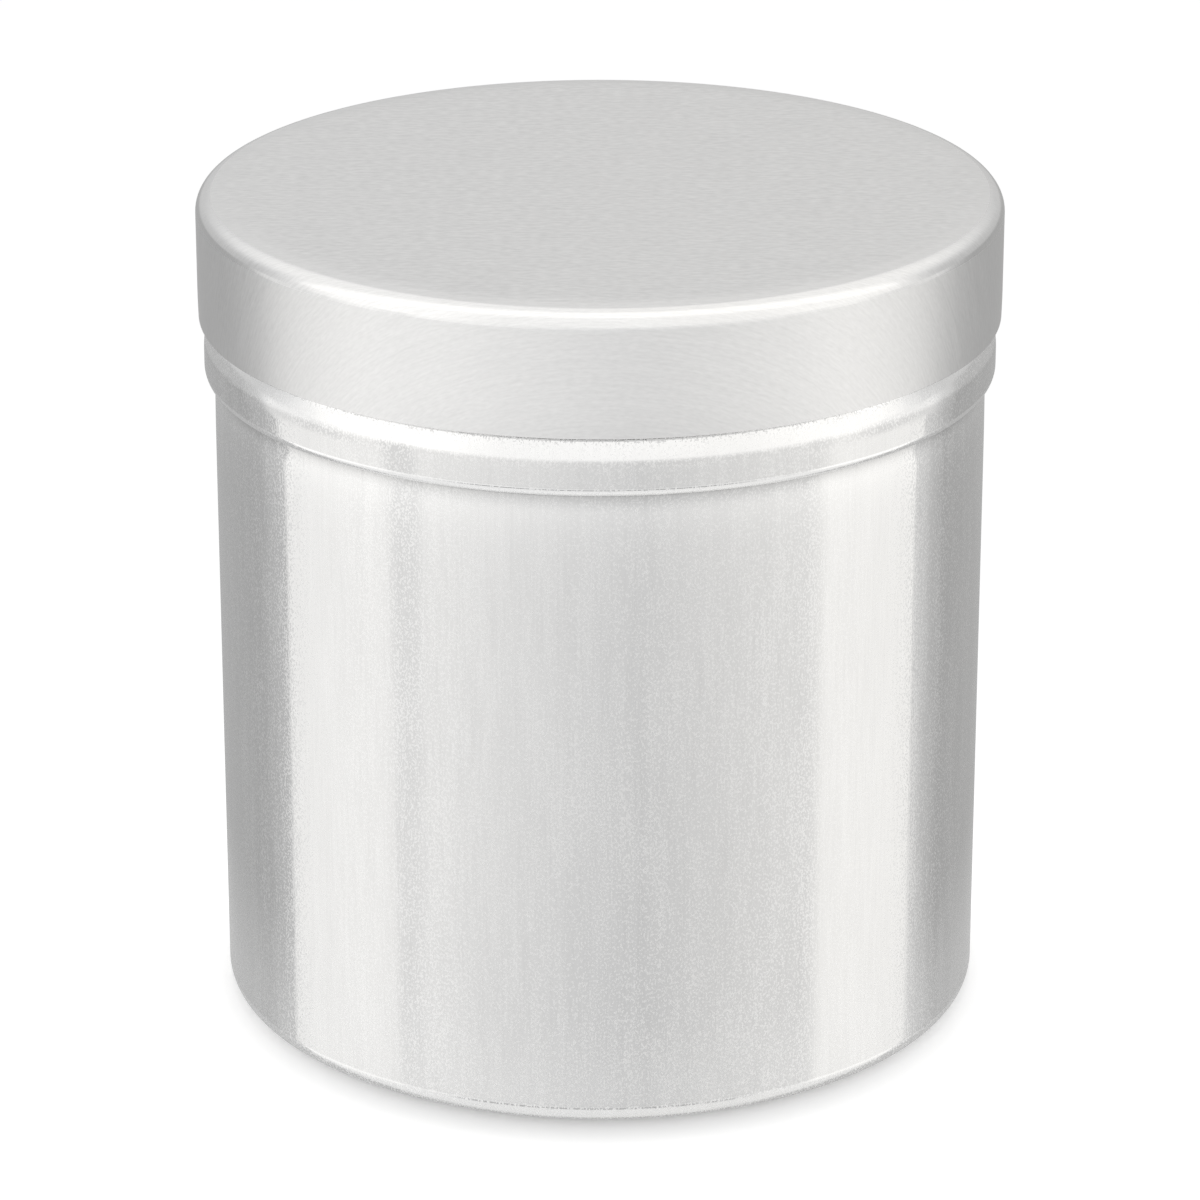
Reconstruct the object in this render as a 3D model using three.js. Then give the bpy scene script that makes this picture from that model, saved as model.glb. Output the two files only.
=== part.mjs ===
// A round tin of drawn aluminium: a can with a rolled bead and a curled mouth, and a slip lid on it.
// Millimetres, +Z up, origin at the centre of the base's underside.
import * as THREE from 'three';

// Can
const BODY_RADIUS = 45; // outside of the straight wall
const BODY_SHEET = 0.45; // sheet that the can is drawn from
const BASE_CORNER = 2.5; // outside radius where the wall turns into the base
const CREASE_HEIGHT = 76.7; // base to the crease under the bead

// Bead rolled into the wall just below the lid
const BEAD_PROJECTION = 1.12; // how far its crest stands out from the wall
const BEAD_ROOT = 0.15; // hollow radius in the crease under it
const BEAD_UNDERSIDE = 1.15; // outside radius between the crease and the band
const BEAD_BAND = 1.95; // height of the straight band on its crest
const BEAD_SHOULDER = 7.8; // outside radius of the shoulder above the band
const SHOULDER_ROOT = 1; // hollow radius where the shoulder runs into the neck

// Neck and mouth, under the lid
const NECK_LENGTH = 12.7; // top of the bead to the centre of the mouth's curl
const CURL_PROJECTION = 1; // how far the curl stands out from the neck
const CURL_TURN = THREE.MathUtils.degToRad(250); // how far the sheet is rolled round

// Lid
const LID_SHEET = 0.45; // sheet that the lid is drawn from
const LID_CORNER = 2; // outside radius between the top and the skirt
const LID_FIT = 0.25; // radial clearance between the curl and the skirt
const LID_SEAT_GAP = 0.15; // height by which the lid's corner clears its seat on the curl
const SHOULDER_REVEAL = 3.95; // height of bead shoulder left showing below the skirt's edge

// Facets
const TURN_SEGMENTS = 72;
const CHORD_ERROR = 0.03; // how far a facet may cut inside its arc

// Heights and radii that follow from the driving dimensions
const RIGHT_ANGLE = Math.PI / 2;
const beadRadius = BODY_RADIUS + BEAD_PROJECTION;
const undersideLean = Math.acos(1 - BEAD_PROJECTION / (BEAD_UNDERSIDE + BEAD_ROOT));
const bandFoot = CREASE_HEIGHT + (BEAD_UNDERSIDE + BEAD_ROOT) * Math.sin(undersideLean);
const bandTop = bandFoot + BEAD_BAND;
const shoulderLean = Math.acos(1 - BEAD_PROJECTION / (BEAD_SHOULDER + SHOULDER_ROOT));
const beadTop = bandTop + (BEAD_SHOULDER + SHOULDER_ROOT) * Math.sin(shoulderLean);
const curlRadius = (BODY_SHEET + CURL_PROJECTION) / 2;
const curlCentre = new THREE.Vector2(BODY_RADIUS + CURL_PROJECTION - curlRadius, beadTop + NECK_LENGTH);

const skirtInside = BODY_RADIUS + CURL_PROJECTION + LID_FIT;
const lidRadius = skirtInside + LID_SHEET;
const lidInsideCorner = bendInside(LID_CORNER, LID_SHEET);
const lidCornerHeight = curlCentre.y - curlRiseInCorner() + LID_SEAT_GAP;
const lidCornerCentre = new THREE.Vector2(lidRadius - LID_CORNER, lidCornerHeight);
const lidTop = lidCornerCentre.y + LID_CORNER;
const skirtEdge = bandTop + SHOULDER_REVEAL;

// Radius on the hollow side of a bend: a sharp bend has none to give away
function bendInside(outside, sheet) {
  return Math.max(outside - sheet, 0);
}

// Height of the curl's centre over the centre of the lid's inside corner, with the corner touching the curl
function curlRiseInCorner() {
  const reach = lidInsideCorner - curlRadius;
  return reach > LID_FIT ? Math.sqrt(reach ** 2 - (reach - LID_FIT) ** 2) : reach;
}

// Points of an arc in the profile plane, with as many chords as the chord error asks for
function arc(x, y, radius, from, to) {
  if (radius === 0) return [new THREE.Vector2(x, y)];
  const step = 2 * Math.acos(Math.max(1 - CHORD_ERROR / radius, 0));
  const count = Math.ceil(Math.abs(to - from) / step);
  const curve = new THREE.EllipseCurve(x, y, radius, radius, from, to, to < from);
  return curve.getPoints(count);
}

// A profile in the plane of radius and height, turned round +Z
function turned(profile) {
  return new THREE.LatheGeometry(profile, TURN_SEGMENTS).rotateX(RIGHT_ANGLE);
}

function canBody() {
  const baseCentre = BODY_RADIUS - BASE_CORNER;
  const rootCentre = BODY_RADIUS + BEAD_ROOT;
  const undersideCentre = beadRadius - BEAD_UNDERSIDE;
  const shoulderCentre = beadRadius - BEAD_SHOULDER;
  const neckCentre = BODY_RADIUS + SHOULDER_ROOT;
  const curlEnd = Math.PI - CURL_TURN;
  const outer = [
    new THREE.Vector2(0, 0),
    ...arc(baseCentre, BASE_CORNER, BASE_CORNER, -RIGHT_ANGLE, 0),
    ...arc(rootCentre, CREASE_HEIGHT, BEAD_ROOT, Math.PI, Math.PI - undersideLean),
    ...arc(undersideCentre, bandFoot, BEAD_UNDERSIDE, -undersideLean, 0).slice(1),
    ...arc(shoulderCentre, bandTop, BEAD_SHOULDER, 0, shoulderLean),
    ...arc(neckCentre, beadTop, SHOULDER_ROOT, Math.PI + shoulderLean, Math.PI).slice(1),
    ...arc(curlCentre.x, curlCentre.y, bendInside(curlRadius, BODY_SHEET), Math.PI, curlEnd),
  ];
  const inner = [
    ...arc(curlCentre.x, curlCentre.y, curlRadius, curlEnd, Math.PI),
    ...arc(neckCentre, beadTop, SHOULDER_ROOT + BODY_SHEET, Math.PI, Math.PI + shoulderLean),
    ...arc(shoulderCentre, bandTop, bendInside(BEAD_SHOULDER, BODY_SHEET), shoulderLean, 0).slice(1),
    ...arc(undersideCentre, bandFoot, bendInside(BEAD_UNDERSIDE, BODY_SHEET), 0, -undersideLean),
    ...arc(rootCentre, CREASE_HEIGHT, BEAD_ROOT + BODY_SHEET, Math.PI - undersideLean, Math.PI).slice(1),
    ...arc(baseCentre, BASE_CORNER, bendInside(BASE_CORNER, BODY_SHEET), 0, -RIGHT_ANGLE),
    new THREE.Vector2(0, BODY_SHEET),
  ];
  return turned([...outer, ...inner]);
}

function slipLid() {
  const { x, y } = lidCornerCentre;
  return turned([
    new THREE.Vector2(0, lidTop - LID_SHEET),
    ...arc(x, y, lidInsideCorner, RIGHT_ANGLE, 0),
    new THREE.Vector2(skirtInside, skirtEdge),
    new THREE.Vector2(lidRadius, skirtEdge),
    ...arc(x, y, LID_CORNER, 0, RIGHT_ANGLE),
    new THREE.Vector2(0, lidTop),
  ]);
}

function named(name, geometry, material) {
  const mesh = new THREE.Mesh(geometry, material);
  mesh.name = name;
  return mesh;
}

const canAluminium = new THREE.MeshStandardMaterial({ color: 0xcbcbca, roughness: 0.38, metalness: 1 });
const lidAluminium = new THREE.MeshStandardMaterial({ color: 0xd0d0cf, roughness: 0.32, metalness: 1 });

const tin = new THREE.Group();
tin.name = 'round_tin';
tin.add(named('can_body', canBody(), canAluminium));
tin.add(named('slip_lid', slipLid(), lidAluminium));

export default tin;
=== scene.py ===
"""A round tin of drawn aluminium with a slip lid, standing in a white studio.

Metres, +Z up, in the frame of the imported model. The can and the lid are turned again from their profiles,
finer than the solids they stand for, and get bare-aluminium finishes: drawing streaks and a sparkling grain
on the can, the straight rolling grain of the sheet on the lid.
"""

import math

import bpy
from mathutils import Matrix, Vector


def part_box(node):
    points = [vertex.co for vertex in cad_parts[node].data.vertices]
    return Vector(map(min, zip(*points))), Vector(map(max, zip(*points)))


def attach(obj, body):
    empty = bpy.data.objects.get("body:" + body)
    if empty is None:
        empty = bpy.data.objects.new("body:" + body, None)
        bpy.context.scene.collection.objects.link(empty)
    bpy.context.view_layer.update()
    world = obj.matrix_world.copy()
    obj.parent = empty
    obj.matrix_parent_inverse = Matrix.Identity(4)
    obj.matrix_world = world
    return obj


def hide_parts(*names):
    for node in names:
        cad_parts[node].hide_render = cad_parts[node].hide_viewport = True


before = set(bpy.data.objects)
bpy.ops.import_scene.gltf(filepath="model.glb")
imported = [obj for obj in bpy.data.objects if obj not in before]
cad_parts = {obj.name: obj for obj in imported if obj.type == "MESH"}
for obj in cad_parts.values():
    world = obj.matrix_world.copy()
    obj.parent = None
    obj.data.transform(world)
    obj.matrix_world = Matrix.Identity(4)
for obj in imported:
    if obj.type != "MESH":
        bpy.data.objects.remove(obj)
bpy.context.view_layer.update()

MM = 0.001
RIGHT_ANGLE = math.pi / 2

# Sizes of the can that its box doesn't give
SHEET = 0.45 * MM
BASE_CORNER = 2.5 * MM
CREASE_HEIGHT = 76.7 * MM
BEAD_PROJECTION = 1.12 * MM
BEAD_ROOT = 0.15 * MM
BEAD_UNDERSIDE = 1.15 * MM
BEAD_BAND = 1.95 * MM
BEAD_SHOULDER = 7.8 * MM
SHOULDER_ROOT = 1.0 * MM
CURL_PROJECTION = 1.0 * MM
CURL_TURN = math.radians(250)

# The wall just under the bead, drawn in by the rolling of the bead and painted lighter there (a painted
# highlight)
WAIST = 0.12 * MM
WAIST_REACH = 3.0 * MM
WAIST_ROOT = 1.2 * MM
WAIST_HEIGHT = 14 * MM
WAIST_RINGS = 16

# How far the bends are painted lighter (painted highlight), against the wall under the bead, and how far
# the crease is painted darker (painted shade)
BEND_PAINTED_HIGHLIGHT = 0.75
BEAD_PAINTED_HIGHLIGHT = 1.1
SHOULDER_HIGHLIGHT_FOOT = math.radians(7)  # where the painted highlight on the bead's shoulder starts
CREASE_PAINTED_SHADE = -1.0
CREASE_SHADE_REACH = 0.4 * MM

# Sizes of the lid that its box doesn't give
LID_CORNER = 2.0 * MM
CUT_EDGE = 0.1 * MM  # rounding of the cut edge of the sheet
TUCK_HEIGHT = 3.2 * MM  # stretch above the edge over which the skirt leans in
TUCK_RADIUS = 90 * MM
EASE_TURN = math.radians(6)  # the rim of the top eases into the corner
EASE_RADIUS = 30 * MM

# Meshes
TURN_SEGMENTS = 256
ARC_STEP = math.radians(4)
HOLD = 0.2 * MM  # how close a ring stands to the ends of a straight stretch
LONG_STRETCH = 1.2 * MM  # a straight stretch longer than this gets rings of its own
STRAIGHT_STEP = 6 * MM  # how far apart those rings stand at most
SHARP_ANGLE = math.radians(40)

# Camera of the photograph: in front, looking down on the lid
CAMERA_PLACE = (0, -0.600, 0.281)
CAMERA_PITCH = math.radians(21.3)  # below the horizon
CAMERA_LENS = 162.43
CAMERA_SENSOR = 36

can_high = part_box("can_body")[1]
lid_low, lid_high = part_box("slip_lid")

bead_radius = can_high.x
body_radius = bead_radius - BEAD_PROJECTION
mouth_height = can_high.z
lid_radius = lid_high.x
lid_top = lid_high.z
skirt_edge = lid_low.z


# Profiles: points of radius, height and a value for painted light there: above 0 a painted highlight, below
# 0 painted shade; on the lid it also marks the burnished metal

def arc(centre, radius, start, end, burnish_and_painted_light=0.0):
    """Points along an arc, with painted light (and on the lid burnish) given to the points between its
    ends.
    """
    count = max(2, math.ceil(abs(end - start) / ARC_STEP))
    points = []
    for i in range(count + 1):
        angle = start + (end - start) * i / count
        place = (centre[0] + radius * math.cos(angle), centre[1] + radius * math.sin(angle))
        points.append((*place, burnish_and_painted_light if 0 < i < count else 0.0))
    return points


def held(profile):
    """The profile with more rings on its straight stretches, and rings close to their ends."""
    rings = [profile[0]]
    for before, after in zip(profile, profile[1:]):
        length = math.dist(before[:2], after[:2])
        if length > LONG_STRETCH:
            steps = math.ceil(length / STRAIGHT_STEP)
            shares = [HOLD / length, *(i / steps for i in range(1, steps)), 1 - HOLD / length]
            for share in shares:
                rings.append(tuple(a + (b - a) * share for a, b in zip(before, after)))
        rings.append(after)
    return rings


def waist():
    """The top of the wall, up to the crease under the bead."""
    points = []
    for i in range(WAIST_RINGS):
        depth = WAIST_HEIGHT * (1 - i / WAIST_RINGS) ** 2
        pull = math.exp(-depth / WAIST_REACH) * (1 - math.exp(-(depth / WAIST_ROOT) ** 2))
        # The third value paints the wall lighter where it is drawn in (a painted highlight) and darker just
        # under the crease (painted shade).
        crease_shade = CREASE_PAINTED_SHADE * math.exp(-depth / CREASE_SHADE_REACH)
        points.append((body_radius - WAIST * pull, CREASE_HEIGHT - depth, pull + crease_shade))
    return points


def can_profile():
    base = (body_radius - BASE_CORNER, BASE_CORNER)
    root = (body_radius + BEAD_ROOT, CREASE_HEIGHT)
    under_lean = math.acos(1 - BEAD_PROJECTION / (BEAD_UNDERSIDE + BEAD_ROOT))
    band_foot = CREASE_HEIGHT + (BEAD_UNDERSIDE + BEAD_ROOT) * math.sin(under_lean)
    belly = (bead_radius - BEAD_UNDERSIDE, band_foot)
    shoulder = (bead_radius - BEAD_SHOULDER, band_foot + BEAD_BAND)
    lean = math.acos(1 - BEAD_PROJECTION / (BEAD_SHOULDER + SHOULDER_ROOT))
    bead_top = shoulder[1] + (BEAD_SHOULDER + SHOULDER_ROOT) * math.sin(lean)
    neck = (body_radius + SHOULDER_ROOT, bead_top)
    curl_radius = (SHEET + CURL_PROJECTION) / 2
    curl = (body_radius + CURL_PROJECTION - curl_radius, mouth_height - curl_radius)
    curl_end = math.pi - CURL_TURN
    # Bends are painted lighter (painted highlight) and the crease darker (painted shade).
    outside = [
        (0, 0, 0),
        *arc(base, BASE_CORNER, -RIGHT_ANGLE, 0, BEND_PAINTED_HIGHLIGHT),
        *waist(),
        # The root of the crease is painted darker: painted shade.
        *arc(root, BEAD_ROOT, math.pi, math.pi - under_lean, CREASE_PAINTED_SHADE)[1:],
        *arc(belly, BEAD_UNDERSIDE, -under_lean, 0, BEAD_PAINTED_HIGHLIGHT)[1:],
        *arc(shoulder, BEAD_SHOULDER, 0, SHOULDER_HIGHLIGHT_FOOT),
        *arc(shoulder, BEAD_SHOULDER, SHOULDER_HIGHLIGHT_FOOT, lean, BEAD_PAINTED_HIGHLIGHT)[1:],
        *arc(neck, SHOULDER_ROOT, math.pi + lean, math.pi)[1:],
        *arc(curl, curl_radius - SHEET, math.pi, curl_end),
    ]
    inside = [
        *arc(curl, curl_radius, curl_end, math.pi, BEND_PAINTED_HIGHLIGHT),
        *arc(neck, SHOULDER_ROOT + SHEET, math.pi, math.pi + lean),
        *arc(shoulder, BEAD_SHOULDER - SHEET, lean, 0)[1:],
        *arc(belly, BEAD_UNDERSIDE - SHEET, 0, -under_lean),
        *arc(root, BEAD_ROOT + SHEET, math.pi - under_lean, math.pi)[1:],
        *arc(base, BASE_CORNER - SHEET, 0, -RIGHT_ANGLE),
        (0, SHEET, 0),
    ]
    return held(outside + inside)


def lid_profile():
    inside_corner = (lid_radius - LID_CORNER, lid_top - LID_CORNER)
    ease_start = RIGHT_ANGLE - EASE_TURN
    ease_drop = (EASE_RADIUS - LID_CORNER) * (1 - math.sin(ease_start))
    corner = (lid_radius - LID_CORNER, lid_top - LID_CORNER - ease_drop)
    ease = (corner[0] - (EASE_RADIUS - LID_CORNER) * math.cos(ease_start), lid_top - EASE_RADIUS)
    tuck = (lid_radius - TUCK_RADIUS, skirt_edge + TUCK_HEIGHT)
    lean = math.asin((TUCK_HEIGHT - CUT_EDGE) / TUCK_RADIUS)
    tucked_in = TUCK_RADIUS * (1 - math.cos(lean))
    inside_edge = (lid_radius - SHEET - tucked_in + CUT_EDGE, skirt_edge + CUT_EDGE)
    outside_edge = (lid_radius - tucked_in - CUT_EDGE, skirt_edge + CUT_EDGE)
    return held([
        (0, lid_top - SHEET, 0),
        *arc(inside_corner, LID_CORNER - SHEET, RIGHT_ANGLE, 0),
        *arc(tuck, TUCK_RADIUS - SHEET, 0, -lean)[:-1],
        # The cut edges and the corner are burnished smoother and painted lighter (a painted highlight).
        *arc(inside_edge, CUT_EDGE, math.pi, math.pi + RIGHT_ANGLE, 1),
        *arc(outside_edge, CUT_EDGE, -RIGHT_ANGLE, 0, 1),
        *arc(tuck, TUCK_RADIUS, -lean, 0)[1:],
        *arc(corner, LID_CORNER, 0, ease_start, 1),
        *arc(ease, EASE_RADIUS, ease_start, RIGHT_ANGLE)[1:],
        (0, lid_top, 0),
    ])


# Meshes

def placed(name, data):
    """A new object in the scene."""
    made = bpy.data.objects.new(name, data)
    bpy.context.scene.collection.objects.link(made)
    return made


def turned(name, profile):
    """A closed mesh of the profile turned round +Z, with its painted light (and on the lid its burnish)
    kept at its points.
    """
    points, burnish_and_painted_light, rings = [], [], []
    for radius, height, burnish_and_light_here in profile:
        count = TURN_SEGMENTS if radius > 0 else 1
        rings.append([len(points) + i for i in range(count)])
        for i in range(count):
            angle = 2 * math.pi * i / TURN_SEGMENTS
            points.append((radius * math.cos(angle), radius * math.sin(angle), height))
            burnish_and_painted_light.append(burnish_and_light_here)
    faces = []
    for low, high in zip(rings, rings[1:]):
        for i in range(TURN_SEGMENTS):
            j = (i + 1) % TURN_SEGMENTS
            corners = [low[i % len(low)], low[j % len(low)], high[j % len(high)], high[i % len(high)]]
            faces.append(list(dict.fromkeys(corners)))
    mesh = bpy.data.meshes.new(name)
    mesh.from_pydata(points, [], faces)
    mesh.attributes.new("burnish_and_painted_light", "FLOAT", "POINT").data.foreach_set("value", burnish_and_painted_light)
    mesh.shade_smooth()
    mesh.set_sharp_from_angle(angle=SHARP_ANGLE)
    return placed(name, mesh)


def lay_on_blank(piece):
    """UVs that lay the drawn sheet back on its flat blank, in metres, so that straight grain runs over it.

    How far the sheet is drawn over the corner, and a mask of where its grain runs down the skirt and not
    round it, for painted shade on the sides of the skirt, are kept at the points.
    """
    mesh = piece.data
    drawn = mesh.attributes.new("drawn", "FLOAT", "POINT")
    down = mesh.attributes.new("skirt_side_shade", "FLOAT", "POINT")
    for vertex in mesh.vertices:
        x, y, z = vertex.co
        radius = math.hypot(x, y)
        on_skirt = min(1, (lid_top - z) / LID_CORNER)
        drawn.data[vertex.index].value = on_skirt
        # A mask for the painted shade on the sides of the skirt, where the grain runs down it.
        down.data[vertex.index].value = on_skirt * (x / radius) ** 2 if radius else 0
    layer = mesh.uv_layers.new(name="blank")
    for loop in mesh.loops:
        x, y, z = mesh.vertices[loop.vertex_index].co
        radius = math.hypot(x, y)
        reach = radius + lid_top - z
        layer.data[loop.index].uv = (x / radius * reach, y / radius * reach) if radius else (0, 0)


# Nodes

NOISE_SPAN = (0.3, 0.7)  # what a noise mostly stays within
GREEN_SHARE = 1 / 3  # how far the green of a grey lies from its red towards its blue
NEUTRAL = 1.0  # share of blue in a plain grey
MIX_COLOURS, MIXED_COLOUR = slice(6, 8), 2  # where a Mix node keeps its colours, and the mixed one


class Graph:
    """Short ways to make the nodes of a tree and join them."""

    def __init__(self, tree):
        self.tree = tree
        tree.nodes.clear()

    def node(self, kind, inputs=(), **settings):
        made = self.tree.nodes.new(kind)
        for name, value in settings.items():
            setattr(made, name, value)
        for key, value in dict(inputs).items():
            self.put(made.inputs[key], value)
        return made

    def put(self, socket, value):
        if isinstance(value, bpy.types.NodeSocket):
            self.tree.links.new(value, socket)
        else:
            socket.default_value = value

    def math(self, operation, *values):
        return self.node("ShaderNodeMath", enumerate(values), operation=operation).outputs[0]

    def total(self, first, *others):
        """The sum of the values."""
        for other in others:
            first = self.math("ADD", first, other)
        return first

    def scaled(self, vector, scale):
        inputs = {0: vector, 1: scale}
        return self.node("ShaderNodeVectorMath", inputs, operation="MULTIPLY").outputs[0]

    def ramp(self, value, low, high, to_low, to_high, smooth=False):
        inputs = {"Value": value, "From Min": low, "From Max": high, "To Min": to_low, "To Max": to_high}
        kind = "SMOOTHSTEP" if smooth else "LINEAR"
        return self.node("ShaderNodeMapRange", inputs, interpolation_type=kind).outputs[0]

    def mix(self, share, first, second):
        inputs = {"Factor": share, "A": first, "B": second}
        return self.node("ShaderNodeMix", inputs).outputs[0]

    def grain(self, vector, sizes, detail=2.0):
        """Noise with grains of the given sizes along the vector's axes."""
        counted = self.scaled(vector, [1 / size for size in sizes])
        inputs = {"Vector": counted, "Scale": 1.0, "Detail": detail}
        return self.node("ShaderNodeTexNoise", inputs).outputs[0]

    def spread(self, noise, low, high):
        """Noise, spread from low to high."""
        return self.ramp(noise, *NOISE_SPAN, low, high)

    def attribute(self, name):
        """A value that is kept at the points of the mesh."""
        return self.node("ShaderNodeAttribute", attribute_name=name).outputs["Fac"]

    def seen(self, rays):
        """1 on the rays that the camera sees, straight or through glass."""
        return self.math("MAXIMUM", rays["Is Camera Ray"], rays["Is Transmission Ray"])

    def bump(self, height, depth, under=None):
        inputs = {"Height": height, "Distance": depth, "Strength": 1.0}
        if under is not None:
            inputs["Normal"] = under
        return self.node("ShaderNodeBump", inputs).outputs[0]

    def blend(self, share, first, second):
        """A mix of two colours."""
        made = self.node("ShaderNodeMix", data_type="RGBA")
        for socket, value in zip([made.inputs[0], *made.inputs[MIX_COLOURS]], [share, first, second]):
            self.put(socket, value)
        return made.outputs[MIXED_COLOUR]

    def grey(self, value, warmth):
        """A colour of that brightness, with blue at a share of it and green between red and blue."""
        blue = self.math("MULTIPLY", value, warmth)
        green = self.mix(GREEN_SHARE, value, blue)
        inputs = {"Red": value, "Green": green, "Blue": blue}
        return self.node("ShaderNodeCombineColor", inputs).outputs[0]


# Materials

METAL_WARMTH = 0.997

# Finish of the can: grain sizes round, through and along the wall
DOT_SIZE = (0.2 * MM, 0.2 * MM, 0.28 * MM)
STREAK_SIZE = (0.3 * MM, 0.3 * MM, 8 * MM)
CLOUD_SIZE = (2 * MM, 2 * MM, 15 * MM)
WAVE_SIZE = (6 * MM, 6 * MM, 200 * MM)
DOT_EDGE = (0.46, 0.66)  # noise at which a dot starts and at which it is full
DOT_CROWDING = 0.05  # how far the clouds thicken or thin out the dots
CAN_TONE = (0.746, 0.784)  # from streak to streak
# The last tone is how strongly the can is painted lighter on its bends (painted highlight) and darker in
# its crease (painted shade).
DOT_TONE, CLOUD_TONE, CAN_PAINTED_LIGHT_TONE = 0.105, 0.01, 0.18
CAN_ROUGHNESS = (0.04, 0.06)
DOT_ROUGHNESS = 0.26
CAN_ANISOTROPY, CAN_ANISOTROPY_TURN = 0.9, 0.25  # it scatters up and down
WAVE_DEPTH, STREAK_DEPTH, DOT_DEPTH = 0.08 * MM, 0.0015 * MM, 0.001 * MM

# Finish of the lid: grain sizes along and across the rolling of the sheet, and out of its flat blank
FINE_SIZE = (1.1 * MM, 0.28 * MM, MM)
COARSE_SIZE = (1.4 * MM, 0.6 * MM, MM)
LONG_SIZE = (9 * MM, 0.4 * MM, MM)
FINE_TONE, COARSE_TONE, LONG_TONE = 0.028, 0.043, 0.022
COARSE_END = 0.08  # how far over the corner the coarse grain is drawn out
LID_TONE = (0.80, 0.853)  # on the flat top, and on the skirt that the die burnished
SIDE_PAINTED_SHADE_TONE, SIDE_SHADE_FROM, SIDE_SHADE_TO = -0.143, 0.25, 0.65  # painted shade: the skirt is darker on its sides, where the grain runs down it
# How far the corner and the cut edges are painted lighter: a painted highlight.
LID_PAINTED_HIGHLIGHT_TONE = 0.06
LID_ROUGHNESS, LID_RUB_ROUGHNESS = (0.31, 0.37), 0.16
LONG_DEPTH, FINE_DEPTH = 0.002 * MM, 0.003 * MM


def node_material(name):
    material = bpy.data.materials.new(name)
    material.use_nodes = True
    return material, Graph(material.node_tree)


def metal(name):
    """A metal to be finished, with its graph, its shader and the value of painted light (and on the lid
    burnish) kept at the points.
    """
    material, graph = node_material(name)
    shader = graph.node("ShaderNodeBsdfPrincipled", {"Metallic": 1.0})
    output = graph.node("ShaderNodeOutputMaterial")
    graph.put(output.inputs["Surface"], shader.outputs[0])
    return material, graph, shader, graph.attribute("burnish_and_painted_light")


def can_aluminium():
    material, graph, shader, burnish_and_painted_light = metal("can_aluminium")
    place = graph.node("ShaderNodeTexCoord").outputs["Object"]
    speckle = graph.grain(place, DOT_SIZE, detail=0.0)
    streaks = graph.grain(place, STREAK_SIZE)
    clouds = graph.grain(place, CLOUD_SIZE)
    waves = graph.grain(place, WAVE_SIZE, detail=1.0)
    crowded = graph.math("ADD", speckle, graph.spread(clouds, -DOT_CROWDING, DOT_CROWDING))
    dots = graph.ramp(crowded, *DOT_EDGE, 0, 1, smooth=True)

    tone = graph.total(
        graph.spread(streaks, *CAN_TONE),
        graph.math("MULTIPLY", dots, DOT_TONE),
        graph.spread(clouds, -CLOUD_TONE, CLOUD_TONE),
        # Painted highlight on the bends and under the bead, painted shade in the crease.
        graph.math("MULTIPLY", burnish_and_painted_light, CAN_PAINTED_LIGHT_TONE),
    )
    graph.put(shader.inputs["Base Color"], graph.grey(tone, METAL_WARMTH))

    gloss = graph.total(graph.spread(streaks, *CAN_ROUGHNESS), graph.math("MULTIPLY", dots, DOT_ROUGHNESS))
    graph.put(shader.inputs["Roughness"], gloss)
    graph.put(shader.inputs["Anisotropic"], CAN_ANISOTROPY)
    graph.put(shader.inputs["Anisotropic Rotation"], CAN_ANISOTROPY_TURN)

    surface = graph.bump(waves, WAVE_DEPTH)
    surface = graph.bump(streaks, STREAK_DEPTH, surface)
    surface = graph.bump(dots, DOT_DEPTH, surface)
    graph.put(shader.inputs["Normal"], surface)
    return material


def lid_aluminium():
    material, graph, shader, burnish_and_painted_light = metal("lid_aluminium")
    blank = graph.node("ShaderNodeUVMap", uv_map="blank").outputs[0]
    fine = graph.grain(blank, FINE_SIZE)
    coarse = graph.grain(blank, COARSE_SIZE)
    long = graph.grain(blank, LONG_SIZE, detail=3.0)
    drawn = graph.attribute("drawn")
    flat = graph.ramp(drawn, 0, COARSE_END, 1, 0)

    tone = graph.total(
        graph.math("MULTIPLY", flat, graph.spread(coarse, -COARSE_TONE, COARSE_TONE)),
        graph.spread(fine, -FINE_TONE, FINE_TONE),
        graph.spread(long, -LONG_TONE, LONG_TONE),
        graph.ramp(drawn, 0, 1, *LID_TONE),
        # Painted shade on the two sides of the skirt.
        graph.ramp(graph.attribute("skirt_side_shade"), SIDE_SHADE_FROM, SIDE_SHADE_TO, 0, SIDE_PAINTED_SHADE_TONE),
        # Painted highlight on the corner and the cut edges.
        graph.math("MULTIPLY", burnish_and_painted_light, LID_PAINTED_HIGHLIGHT_TONE),
    )
    graph.put(shader.inputs["Base Color"], graph.grey(tone, METAL_WARMTH))

    gloss = graph.mix(burnish_and_painted_light, graph.spread(long, *LID_ROUGHNESS), LID_RUB_ROUGHNESS)
    graph.put(shader.inputs["Roughness"], gloss)

    surface = graph.bump(long, LONG_DEPTH)
    surface = graph.bump(fine, FINE_DEPTH, surface)
    graph.put(shader.inputs["Normal"], surface)
    return material


# Studio
# What the metal mirrors, by direction. Levels are shares of white and angles are degrees. The azimuth runs
# from 0 in front of the tin, on the camera's side, to 90 on its right and -90 on its left.

WHITE = 1.0

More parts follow.
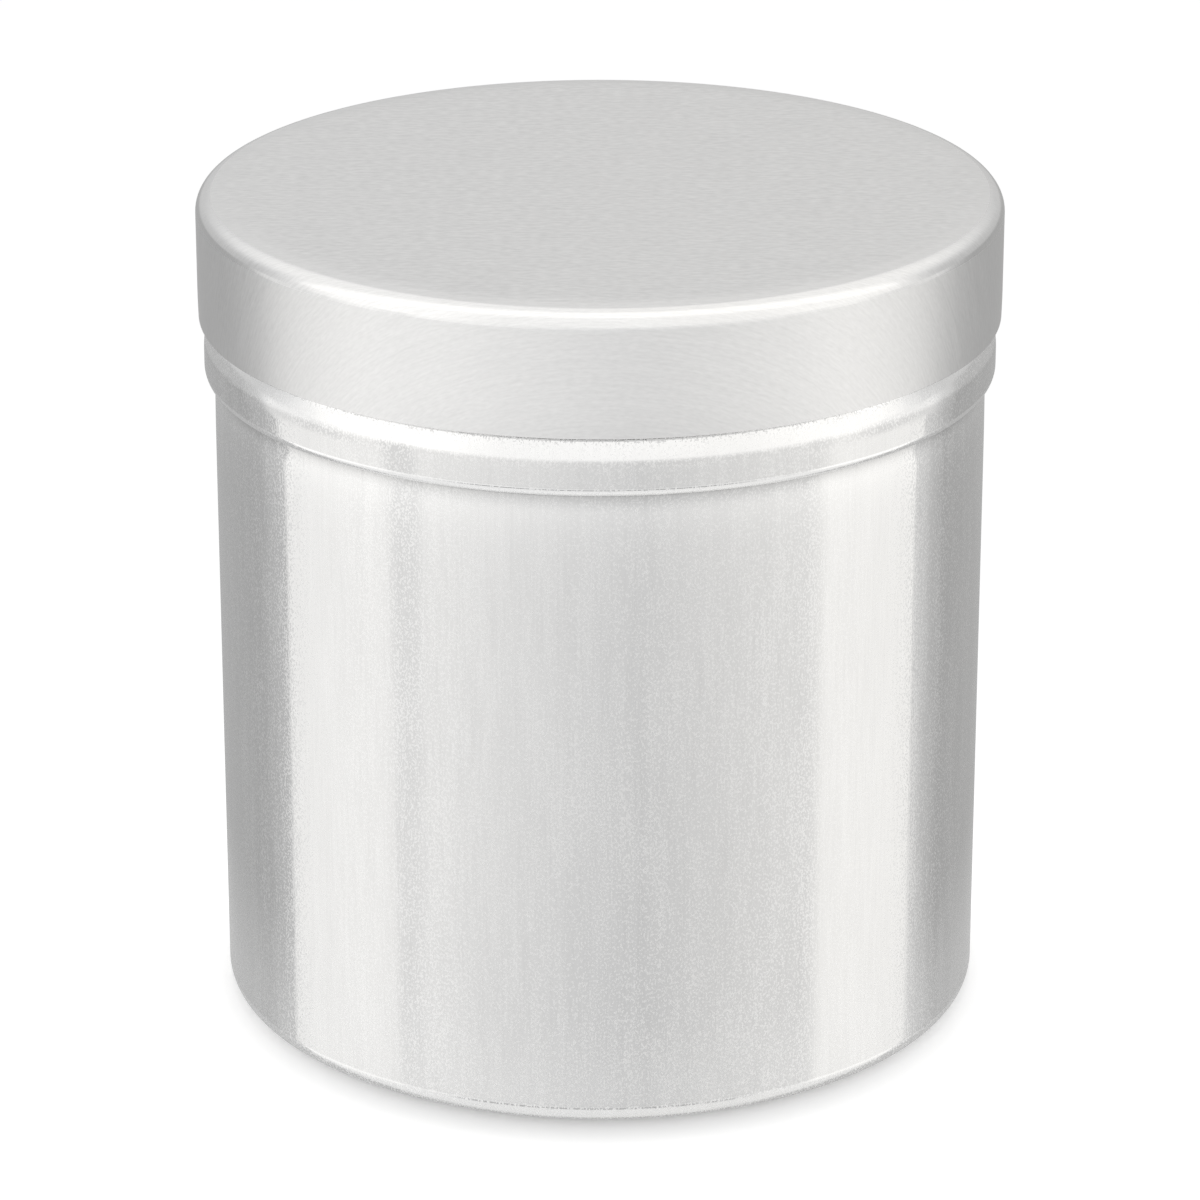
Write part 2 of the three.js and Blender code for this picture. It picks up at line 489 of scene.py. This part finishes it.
# Below the horizon: a ring of walls with a bright panel on each side, a duller gap over the panels,
# a dull skirting along the foot of the front wall, and the floor
FRONT_LEVEL, FRONT_MIDDLE = 0.752, 12
FRONT_LEFT_LEVEL, FRONT_LEFT_END = 0.98, -48
FRONT_RIGHT_LEVEL, FRONT_RIGHT_END = 0.89, 58
BACK_TURN = (90, 91)  # where the front gives way to the back, hidden by the panels
LEFT_TO_RIGHT = (-1, 1)  # where the left back gives way to the right back, hidden by the front
LEFT_PANEL_LEVEL, RIGHT_PANEL_LEVEL = 1.09, 1.12
LEFT_PANEL = (-60, -71, -106.8, -107.7)  # near edge from and to, far edge from and to
RIGHT_PANEL = (63, 74, 107.5, 108.5)
STRIP_LEVEL, STRIP = 0.91, (-53, -57, -63, -67)  # a dull strip beside the left panel
LEFT_BACK = (-107, -124, 0.62, 0.465)  # azimuth from and to, level from and to
RIGHT_BACK = (108, 124, 0.76, 0.463)
RISE_SLOPE, RISE_MIDDLE, RISE_LOW, RISE_HIGH = 0.012, -23, -34, -19  # the front is brighter higher up
GAP_LEVEL, GAP_TURN = 0.89, (64, 92, 106, 114)
GAP_FOOT = (-18.5, -14.5)
SKIRTING_LEVEL, SKIRTING = 0.38, (-46, -44, -37, -35)
SKIRTING_TURN = (38, 56)
FLOOR_LEVEL, FLOOR_FADE = 0.85, (-34, -41)
FLOOR_BACK_LEVEL = 0.5  # darker away behind the tin
FLOOR_BACK_TURN, FLOOR_BACK_REACH = (100, 116), (-75, -60)

# Above the horizon
HORIZON = (-3, 0)
SKY_FRONT = (5, 60, 0.97, 1.02)  # elevation from and to, level from and to
SKY_BACK = (8, 45, 0.61, 1.0)
SKY_TURN = (84, 114)
LEFT_SKY_LEVEL, LEFT_SKY_PANEL = 1.12, (-25, -50, -76, -90)
RIGHT_SKY_LEVEL, RIGHT_SKY_PANEL = 1.06, (40, 64, 95, 110)
OVERHEAD_LEVEL = 1.18  # a strip light that runs over the tin from left to right
OVERHEAD_LEAN, OVERHEAD_EDGE, OVERHEAD_FOOT = -8, (12, 28), (8, 25)

# The bright parts and the right side are a little warmer: level or azimuth from and to, blue from and to
BRIGHT_WARMTH = (0.75, 1.05, 1, 0.98)
RIGHT_WARMTH = (0, 40, 1, 0.988)

# Light on what isn't metal
AMBIENT_LEVEL = 0.06
KEY_LEVEL = 0.2
KEY_ANGLE = math.radians(8)
KEY_LEAN = math.radians(2)  # it stands a little behind the tin


def window(graph, value, edges):
    """1 between the two edges of a panel or strip, 0 outside, with a smooth change over each edge."""
    inner = graph.ramp(value, edges[0], edges[1], 0, 1, smooth=True)
    outer = graph.ramp(value, edges[2], edges[3], 1, 0, smooth=True)
    return graph.math("MULTIPLY", inner, outer)


def walls(graph, azimuth, turn, elevation):
    left = graph.ramp(azimuth, FRONT_MIDDLE, FRONT_LEFT_END, 0, FRONT_LEFT_LEVEL - FRONT_LEVEL)
    right = graph.ramp(azimuth, FRONT_MIDDLE, FRONT_RIGHT_END, 0, FRONT_RIGHT_LEVEL - FRONT_LEVEL)
    front = graph.math("ADD", graph.math("ADD", left, right), FRONT_LEVEL)
    left_back = graph.ramp(azimuth, *LEFT_BACK)
    right_back = graph.ramp(azimuth, *RIGHT_BACK)
    back = graph.mix(graph.ramp(azimuth, *LEFT_TO_RIGHT, 0, 1), left_back, right_back)
    rise = graph.ramp(elevation, RISE_LOW, RISE_HIGH, (RISE_LOW - RISE_MIDDLE) * RISE_SLOPE,
                      (RISE_HIGH - RISE_MIDDLE) * RISE_SLOPE)
    level = graph.mix(graph.ramp(turn, *BACK_TURN, 0, 1), graph.math("ADD", front, rise), back)
    level = graph.mix(window(graph, azimuth, STRIP), level, STRIP_LEVEL)
    level = graph.mix(window(graph, azimuth, LEFT_PANEL), level, LEFT_PANEL_LEVEL)
    level = graph.mix(window(graph, azimuth, RIGHT_PANEL), level, RIGHT_PANEL_LEVEL)
    gap = graph.math("MULTIPLY", window(graph, turn, GAP_TURN), graph.ramp(elevation, *GAP_FOOT, 0, 1))
    level = graph.mix(gap, level, GAP_LEVEL)
    behind = graph.math("MULTIPLY", graph.ramp(turn, *FLOOR_BACK_TURN, 0, 1),
                        graph.ramp(elevation, *FLOOR_BACK_REACH, 0, 1))
    floor_level = graph.mix(behind, FLOOR_LEVEL, FLOOR_BACK_LEVEL)
    level = graph.mix(graph.ramp(elevation, *FLOOR_FADE, 0, 1, smooth=True), level, floor_level)
    skirting = graph.math("MULTIPLY", window(graph, elevation, SKIRTING),
                          graph.ramp(turn, *SKIRTING_TURN, 1, 0))
    return graph.mix(skirting, level, SKIRTING_LEVEL)


def sky(graph, azimuth, turn, elevation, lean):
    level = graph.ramp(elevation, *SKY_FRONT)
    level = graph.mix(window(graph, azimuth, LEFT_SKY_PANEL), level, LEFT_SKY_LEVEL)
    level = graph.mix(window(graph, azimuth, RIGHT_SKY_PANEL), level, RIGHT_SKY_LEVEL)
    back = graph.ramp(elevation, *SKY_BACK, smooth=True)
    level = graph.mix(graph.ramp(turn, *SKY_TURN, 0, 1, smooth=True), level, back)
    aside = graph.math("ABSOLUTE", graph.math("SUBTRACT", lean, OVERHEAD_LEAN))
    strip = graph.math("MULTIPLY", graph.ramp(aside, *OVERHEAD_EDGE, 1, 0, smooth=True),
                       graph.ramp(elevation, *OVERHEAD_FOOT, 0, 1, smooth=True))
    return graph.mix(strip, level, OVERHEAD_LEVEL)


def mirrored_studio(graph):
    """The colour of the studio in the direction of the ray."""
    direction = graph.node("ShaderNodeTexCoord").outputs["Generated"]
    parts = graph.node("ShaderNodeSeparateXYZ", {0: direction}).outputs
    degrees = math.degrees(1)
    elevation = graph.math("MULTIPLY", graph.math("ARCSINE", parts["Z"]), degrees)
    forward = graph.math("MULTIPLY", parts["Y"], -1)
    azimuth = graph.math("MULTIPLY", graph.math("ARCTAN2", parts["X"], forward), degrees)
    turn = graph.math("ABSOLUTE", azimuth)
    backward = graph.math("ARCTAN2", parts["Y"], parts["Z"])  # from straight overhead
    lean = graph.math("MULTIPLY", backward, degrees)
    low = walls(graph, azimuth, turn, elevation)
    high = sky(graph, azimuth, turn, elevation, lean)
    level = graph.mix(graph.ramp(elevation, *HORIZON, 0, 1, smooth=True), low, high)
    warmth = graph.math("MULTIPLY", graph.ramp(level, *BRIGHT_WARMTH), graph.ramp(azimuth, *RIGHT_WARMTH))
    return graph.grey(level, warmth)


def studio():
    world = bpy.data.worlds.new("studio")
    bpy.context.scene.world = world
    world.cycles.sampling_method = "NONE"  # every ray meets the level that is meant for its kind
    world.use_nodes = True
    graph = Graph(world.node_tree)
    rays = graph.node("ShaderNodeLightPath").outputs
    plain = graph.grey(graph.mix(graph.seen(rays), AMBIENT_LEVEL, WHITE), NEUTRAL)
    colour = graph.blend(rays["Is Glossy Ray"], plain, mirrored_studio(graph))
    background = graph.node("ShaderNodeBackground", {"Color": colour})
    output = graph.node("ShaderNodeOutputWorld")
    graph.put(output.inputs["Surface"], background.outputs[0])


def key_light():
    """A soft light overhead, for the floor."""
    data = bpy.data.lights.new("key", "SUN")
    data.energy = KEY_LEVEL * math.pi
    data.angle = KEY_ANGLE
    lamp = placed("key", data)
    lamp.rotation_euler = (-KEY_LEAN, 0, 0)
    lamp.visible_glossy = False  # the metal mirrors the studio's sky instead


# Floor

FLOOR_SIZE = 6.0
FLOOR_COLOUR = (0.795, 0.805)  # from fibre to fibre of its paper
FIBRE_SIZE = (2 * MM, 2 * MM, 2 * MM)
OPEN_LIFT, HIDDEN_LIFT = 0.8, 0.04  # what brings the lit floor up to white, in the open and in a corner
CORNER_REACH = 6.5 * MM
SIDE_LEAN = 0.65  # how far the light in the corner comes from the side, beside the tin
MIRRORED_FLOOR = (46 * MM, 75 * MM)  # distance from the axis over which the floor leaves the reflections
MIRRORED_SHARE = 0.2


def floor_material():
    material, graph = node_material("studio_floor")
    rays = graph.node("ShaderNodeLightPath").outputs
    place = graph.node("ShaderNodeNewGeometry").outputs["Position"]
    distance = graph.node("ShaderNodeVectorMath", {0: place}, operation="LENGTH").outputs["Value"]
    fibres = graph.grain(place, FIBRE_SIZE, detail=3.0)
    colour = graph.grey(graph.spread(fibres, *FLOOR_COLOUR), NEUTRAL)
    sheet = graph.node("ShaderNodeBsdfDiffuse", {"Color": colour})
    seen = graph.math("MAXIMUM", graph.seen(rays), rays["Is Glossy Ray"])
    across = graph.node("ShaderNodeSeparateXYZ", {0: place}).outputs["X"]
    aside = graph.math("MULTIPLY", across, SIDE_LEAN / body_radius)
    toward_light = graph.node("ShaderNodeCombineXYZ", {"X": aside, "Z": 1.0}).outputs[0]
    toward_light = graph.node("ShaderNodeVectorMath", {0: toward_light}, operation="NORMALIZE").outputs[0]
    inputs = {"Distance": CORNER_REACH, "Normal": toward_light}
    corner = graph.node("ShaderNodeAmbientOcclusion", inputs).outputs["AO"]
    lift = graph.math("MULTIPLY", seen, graph.mix(corner, HIDDEN_LIFT, OPEN_LIFT))
    lift = graph.node("ShaderNodeEmission", {"Strength": lift})
    lit = graph.node("ShaderNodeAddShader", {0: sheet.outputs[0], 1: lift.outputs[0]})
    away = graph.ramp(distance, *MIRRORED_FLOOR, 1 - MIRRORED_SHARE, 1)
    clear = graph.math("MULTIPLY", away, rays["Is Glossy Ray"])
    through = graph.node("ShaderNodeBsdfTransparent")
    inputs = {0: clear, 1: lit.outputs[0], 2: through.outputs[0]}
    mixed = graph.node("ShaderNodeMixShader", inputs)
    output = graph.node("ShaderNodeOutputMaterial")
    graph.put(output.inputs["Surface"], mixed.outputs[0])
    return material


def floor():
    half = FLOOR_SIZE / 2
    corners = [(-half, -half, 0), (half, -half, 0), (half, half, 0), (-half, half, 0)]
    mesh = bpy.data.meshes.new("floor")
    mesh.from_pydata(corners, [], [(0, 1, 2, 3)])
    mesh.materials.append(floor_material())
    sheet = placed("floor", mesh)


# Camera

def camera():
    data = bpy.data.cameras.new("camera")
    data.lens = CAMERA_LENS
    data.sensor_width = CAMERA_SENSOR
    eye = placed("camera", data)
    eye.location = CAMERA_PLACE
    eye.rotation_euler = (RIGHT_ANGLE - CAMERA_PITCH, 0, 0)
    bpy.context.scene.camera = eye


# Pieces

def can():
    piece = turned("can", can_profile())
    piece.data.materials.append(can_aluminium())
    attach(piece, "can")
    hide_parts("can_body")


def lid():
    piece = turned("lid", lid_profile())
    lay_on_blank(piece)
    piece.data.materials.append(lid_aluminium())
    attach(piece, "lid")
    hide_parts("slip_lid")


camera()
floor()
studio()
key_light()
can()
lid()
bpy.context.scene.view_settings.view_transform = "Standard"
